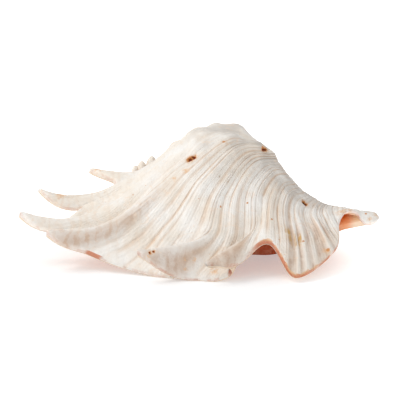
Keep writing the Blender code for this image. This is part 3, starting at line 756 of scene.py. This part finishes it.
    rough = share((inside, 0.35, 0.65, 0.62, 0.22), (uneven["polish"], 0.3, 0.7, -0.06, 0.10), how="ADD")
    shader = add(tree, "ShaderNodeBsdfPrincipled", Base_Color=colour, Roughness=rough, Normal=bump,
                 IOR=1.53, Specular_IOR_Level=0.35)
    add(tree, "ShaderNodeOutputMaterial", Surface=shader.outputs[0])
    return material


def floor_material(colours):
    """Painted studio board: matt white, and glowing as painted light though it is no lamp."""
    material = bpy.data.materials.new("Matt painted board")
    material.use_nodes = True
    shader = material.node_tree.nodes["Principled BSDF"]
    shader.inputs["Base Color"].default_value = linear(colours.floor)
    shader.inputs["Roughness"].default_value = 0.9
    shader.inputs["Specular IOR Level"].default_value = 0.1
    shader.inputs["Emission Color"].default_value = (1.0, 1.0, 1.0, 1.0)
    # Painted light: the board glows as if lit from behind, weakly under the shell and more from its outline
    # outwards.
    tree = material.node_tree
    place = add(tree, "ShaderNodeTexCoord").outputs["Object"]
    away = add(tree, "ShaderNodeVectorMath", {"operation": "DISTANCE"}, _0=place, _1=GLOW_CENTRE)
    glow = add(tree, "ShaderNodeMapRange", {"interpolation_type": "SMOOTHSTEP"},
               Value=away.outputs["Value"], From_Min=GLOW_REACH[0], From_Max=GLOW_REACH[1],
               To_Min=GLOW_STRENGTH[0], To_Max=GLOW_STRENGTH[1])
    tree.links.new(glow.outputs["Result"], shader.inputs["Emission Strength"])
    return material


# ---------------------------------------------------------------------------------------------------
# Settings, operators and panel.
# ---------------------------------------------------------------------------------------------------

def tint(name, description, default):
    """A text property that holds an sRGB hex colour."""
    return bpy.props.StringProperty(name=name, description=description, default=default, maxlen=7)


class ConchSizes(bpy.types.PropertyGroup):
    """Sizes of the shell's relief, in millimetres."""

    cord_spacing: bpy.props.FloatProperty(
        name="Cord spacing", description="Distance between two main cords, in mm", default=4.7,
        min=2.0, max=10.0)
    cord_depth: bpy.props.FloatProperty(
        name="Groove depth", description="Depth of the grooves between the cords, in mm", default=0.95,
        min=0.0, max=2.0)
    rib_height: bpy.props.FloatProperty(
        name="Rib height", description="Height of the broad ribs, in mm", default=0.7, min=0.0, max=3.0)
    lobe_height: bpy.props.FloatProperty(
        name="Lobe ribs", description="Height of the ribs on the lobe, in mm", default=0.75, min=0.0, max=2.0)
    lump_height: bpy.props.FloatProperty(
        name="Unevenness", description="Height of the uneven growth, in mm", default=0.55, min=0.0, max=2.0)


class ConchColours(bpy.types.PropertyGroup):
    """Colours of the shell and the studio, as sRGB hex values."""

    white: tint("White", "Chalky white of the outer layer", "#F8F5F0")
    cream: tint("Cream", "Cream patches of the outer layer", "#F1E8DC")
    tan: tint("Tan", "Warm cream over the fingers of the spire side", "#F7ECDE")
    # Grey weathering of the upper back, which is partly painted shade there.
    grey_and_shade: tint("Grey", "Grey weathering of the upper back", "#D3CCC4")
    stain: tint("Groove stain", "Stain that lies in the grooves", "#E3C2A2")
    line: tint("Groove line", "Fine line at the bottom of a groove", "#C8A88C")
    peach: tint("Peach", "Bloom along the cords", "#F3D9C0")
    # Colour of the painted shade, with some tan stain, on the finger flanks and between the lobe's ribs.
    shade_and_stain: tint("Shade and stain", "Tan dirt in the hollows beside the fingers", "#CAAC95")
    peach_deep: tint("Deep peach", "Stain around the bore holes", "#E9BC8E")
    yellow: tint("Yellow-brown", "Yellow-brown stains", "#D2A458")
    speck: tint("Specks", "Rust-coloured specks and rings of the holes", "#D08A48")
    rim: tint("Rim", "Worn rim of the lip", "#CC6E3C")
    # The inside of the bore holes: their red-brown and painted shade of their depth.
    hole: tint("Holes", "Inside of the bore holes", "#8E3512")
    inner: tint("Inside", "Orange of the glazed inner layer", "#EC8228")
    inner_pale: tint("Pale inside", "Inner layer next to the lip", "#F8E2C8")
    inner_deep: tint("Deep inside", "Red-brown in the depth of the opening", "#A2430F")
    floor: tint("Floor", "Studio floor", "#D8D8D8")


class StudioSettings(bpy.types.PropertyGroup):
    """Camera and light."""

    height_angle: bpy.props.FloatProperty(
        name="Camera height", description="Angle of the camera above level", default=0.2268928,
        subtype="ANGLE")
    distance: bpy.props.FloatProperty(
        name="Camera distance", description="Distance from the shell", default=1.2, unit="LENGTH")
    span: bpy.props.FloatProperty(
        name="Picture width", description="Width of the picture at the shell", default=0.339, unit="LENGTH")
    key: bpy.props.FloatProperty(name="Key light", description="Power of the key light in watts", default=6.1)
    fill: bpy.props.FloatProperty(
        name="Fill light", description="Power of the fill light in watts", default=0.9)
    sky: bpy.props.FloatProperty(name="Surround", description="Strength of the white surround", default=0.60)


class OBJECT_OT_conch_shell(bpy.types.Operator):
    """Build the shell as one mesh that stands for the solid"""

    bl_idname = "object.conch_shell"
    bl_label = "Spider conch shell"

    def execute(self, context):
        sizes, colours = context.scene.conch_sizes, context.scene.conch_colours
        points, faces, values = shell_mesh(sizes)
        values["cord_mm"] = np.interp(values["place"], DENSE, CORD_LENGTH)
        mesh = bpy.data.meshes.new("conch_shell")
        mesh.vertices.add(len(points))
        mesh.vertices.foreach_set("co", shifted(points).ravel())
        mesh.loops.add(faces.size)
        mesh.loops.foreach_set("vertex_index", faces.ravel().astype(np.int32))
        mesh.polygons.add(len(faces))
        mesh.polygons.foreach_set("loop_start", np.arange(0, faces.size, 3, dtype=np.int32))
        mesh.update(calc_edges=True)
        mesh.polygons.foreach_set("use_smooth", np.ones(len(faces), bool))
        for name, numbers in values.items():
            layer = mesh.attributes.new(name, "FLOAT", "POINT")
            layer.data.foreach_set("value", numbers.astype(np.float32))
        if mesh.validate():
            raise RuntimeError("the shell's mesh has bad faces")
        mesh.materials.append(shell_material(sizes, colours))
        shell = bpy.data.objects.new("conch_shell", mesh)
        context.scene.collection.objects.link(shell)
        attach(shell, "root")
        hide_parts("shell")
        return {"FINISHED"}


class OBJECT_OT_studio_stage(bpy.types.Operator):
    """Lay the floor, hang the lights and set the camera at the photograph's angle"""

    bl_idname = "object.studio_stage"
    bl_label = "Studio stage"

    def execute(self, context):
        scene = context.scene
        stage, colours = scene.conch_stage, scene.conch_colours
        # A square floor of four corners, well past the picture.
        corners = np.array([(-1, -1, 0), (1, -1, 0), (1, 1, 0), (-1, 1, 0)], float) * FLOOR_HALF_SIDE
        mesh = bpy.data.meshes.new("floor")
        mesh.from_pydata(corners.tolist(), [], [(0, 1, 2, 3)])
        mesh.materials.append(floor_material(colours))
        floor = bpy.data.objects.new("floor", mesh)
        scene.collection.objects.link(floor)

        world = bpy.data.worlds.new("white surround")
        world.use_nodes = True
        backdrop = world.node_tree.nodes["Background"]
        backdrop.inputs["Color"].default_value = (1.0, 1.0, 1.0, 1.0)
        backdrop.inputs["Strength"].default_value = stage.sky
        scene.world = world

        target = np.array([CENTRE[0] * MM, CENTRE[1] * MM, TARGET_HEIGHT])
        for name, spot, power, size in (("key", (-0.65, 0.0, 1.0), stage.key, 0.7),
                                        ("fill", (-0.6, -1.1, 0.55), stage.fill, 0.9)):
            lamp = bpy.data.lights.new(name, "AREA")
            lamp.energy = power
            lamp.size = size
            light = bpy.data.objects.new(name, lamp)
            scene.collection.objects.link(light)
            light.location = spot
            aim(light, target)

        lens = bpy.data.cameras.new("camera")
        camera = bpy.data.objects.new("camera", lens)
        scene.collection.objects.link(camera)
        tilt = stage.height_angle
        camera.location = target + stage.distance * np.array([0.0, -np.cos(tilt), np.sin(tilt)])
        aim(camera, target)
        lens.sensor_width = 36.0
        lens.lens = 36.0 * stage.distance / stage.span
        lens.clip_start = 0.05
        scene.camera = camera
        scene.view_settings.view_transform = "Standard"
        return {"FINISHED"}


def aim(thing, target):
    """Turns a lamp or camera so that its -Z points at the target."""
    thing.rotation_euler = (Vector(target) - thing.location).to_track_quat("-Z", "Y").to_euler()


class VIEW3D_PT_conch(bpy.types.Panel):
    """Sidebar panel that lists the pieces and their settings"""

    bl_label = "Spider conch shell"
    bl_idname = "VIEW3D_PT_conch"
    bl_space_type = "VIEW_3D"
    bl_region_type = "UI"
    bl_category = "Shell"

    def draw(self, context):
        for group in (context.scene.conch_sizes, context.scene.conch_colours, context.scene.conch_stage):
            box = self.layout.box()
            for name in group.__annotations__:
                box.prop(group, name)
        for operator in (OBJECT_OT_conch_shell, OBJECT_OT_studio_stage):
            self.layout.operator(operator.bl_idname)


CLASSES = (ConchSizes, ConchColours, StudioSettings, OBJECT_OT_conch_shell, OBJECT_OT_studio_stage,
           VIEW3D_PT_conch)


def register():
    for item in CLASSES:
        bpy.utils.register_class(item)
    bpy.types.Scene.conch_sizes = bpy.props.PointerProperty(type=ConchSizes)
    bpy.types.Scene.conch_colours = bpy.props.PointerProperty(type=ConchColours)
    bpy.types.Scene.conch_stage = bpy.props.PointerProperty(type=StudioSettings)


def unregister():
    del bpy.types.Scene.conch_sizes, bpy.types.Scene.conch_colours, bpy.types.Scene.conch_stage
    for item in reversed(CLASSES):
        bpy.utils.unregister_class(item)


def main():
    register()
    bpy.ops.object.conch_shell()
    bpy.ops.object.studio_stage()
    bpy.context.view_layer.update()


if __name__ == "__main__":
    main()
